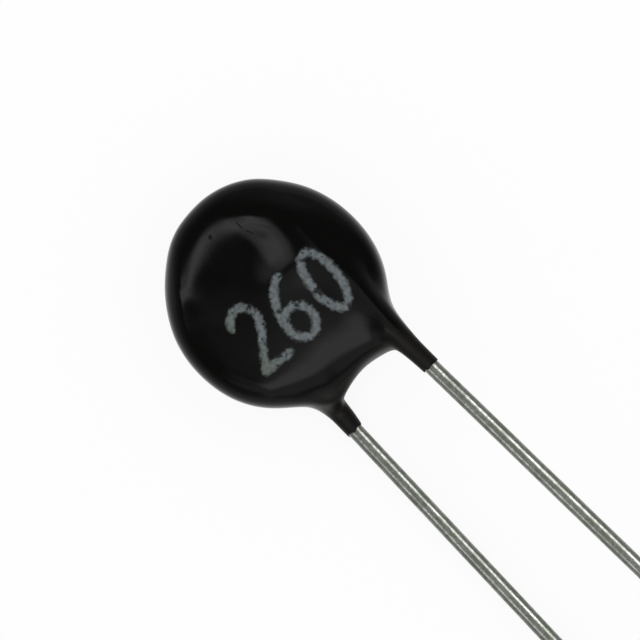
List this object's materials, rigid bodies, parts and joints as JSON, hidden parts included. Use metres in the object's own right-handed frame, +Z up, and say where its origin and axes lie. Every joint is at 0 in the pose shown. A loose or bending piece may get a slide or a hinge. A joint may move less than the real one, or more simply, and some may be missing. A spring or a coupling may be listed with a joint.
{
  "type": "ntc disc thermistor",
  "caption": "Radial-leaded disc thermistor: a flat round body dipped in glossy black resin, which runs a little way down straight tinned wire leads.",
  "frame": {"origin": "on the surface that the part lies on, under the middle of its box", "axes": "+Z up, square to the disc's faces; the leads run towards -Y; the lead on the upper face is on the +X side"},
  "size_m": [0.0112, 0.039, 0.0048],
  "materials": {
    "black_resin": "glossy dipped resin, slightly uneven",
    "ntc_ceramic": "matt sintered oxide",
    "fired_silver": "fired silver paste, dull",
    "solder_tin": "solder, softly shiny",
    "tinned_wire": "bright tinned copper wire with fine drawing marks"
  },
  "bodies": {
    "root": {"coating": "black_resin", "ceramic_disc": "ntc_ceramic", "front_electrode": "fired_silver", "rear_electrode": "fired_silver", "front_solder": "solder_tin", "rear_solder": "solder_tin", "front_lead": "tinned_wire", "rear_lead": "tinned_wire"}
  },
  "joints": []
}
